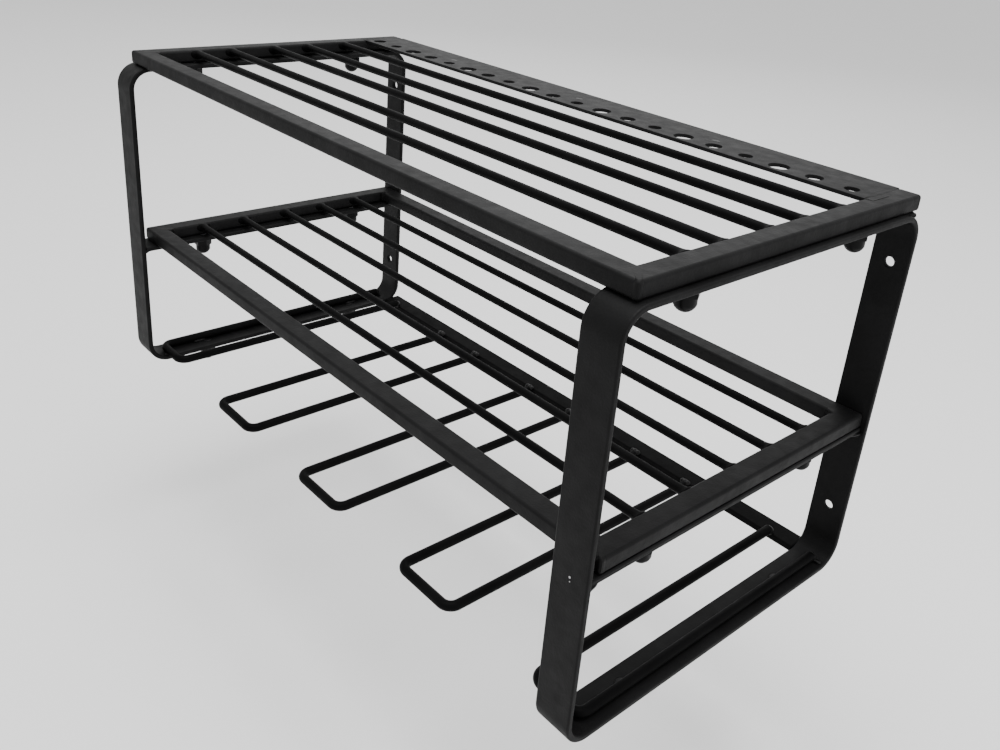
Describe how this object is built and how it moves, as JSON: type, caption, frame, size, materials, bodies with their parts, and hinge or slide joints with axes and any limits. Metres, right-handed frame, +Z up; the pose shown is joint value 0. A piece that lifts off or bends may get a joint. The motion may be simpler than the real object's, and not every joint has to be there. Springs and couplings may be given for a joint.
{
  "type": "wall rack for power tools",
  "caption": "Black steel wall rack with two wire shelves, a perforated tool strip along the wall and a bottom row of wire hanger loops, held between two bent flat-strap side loops.",
  "frame": {"origin": "centre of the four wall screw holes, on the wall plane", "axes": "+X to the right seen from the front, +Y into the wall, +Z up; the rack stands out from the wall towards -Y"},
  "size_m": [0.436, 0.211, 0.226],
  "materials": {
    "frame_paint": "satin black powder coat",
    "wire_paint": "satin black powder coat on drawn wire",
    "nut_black": "semi-gloss black",
    "stud_steel": "bare steel thread"
  },
  "bodies": {
    "root": {"left_side_loop": "frame_paint", "right_side_loop": "frame_paint", "left_middle_strap": "frame_paint", "right_middle_strap": "frame_paint", "top_front_bar": "frame_paint", "top_left_end_bar": "frame_paint", "top_right_end_bar": "frame_paint", "tool_strip": "frame_paint", "middle_front_bar": "frame_paint", "middle_back_bar": "frame_paint", "middle_left_end_bar": "frame_paint", "middle_right_end_bar": "frame_paint", "hanger_rear_bar": "frame_paint", "top_wire_1": "wire_paint", "top_wire_2": "wire_paint", "top_wire_3": "wire_paint", "top_wire_4": "wire_paint", "top_wire_5": "wire_paint", "middle_wire_1": "wire_paint", "middle_wire_2": "wire_paint", "middle_wire_3": "wire_paint", "middle_wire_4": "wire_paint", "middle_wire_5": "wire_paint", "left_hanger_ring": "wire_paint", "hanger_loop_1": "wire_paint", "hanger_loop_2": "wire_paint", "hanger_loop_3": "wire_paint", "right_hanger_ring": "wire_paint", "top_studs": "stud_steel", "middle_studs": "stud_steel", "bottom_studs": "stud_steel", "top_cap_nuts": "nut_black", "middle_cap_nuts": "nut_black", "bottom_cap_nuts": "nut_black"}
  },
  "joints": []
}
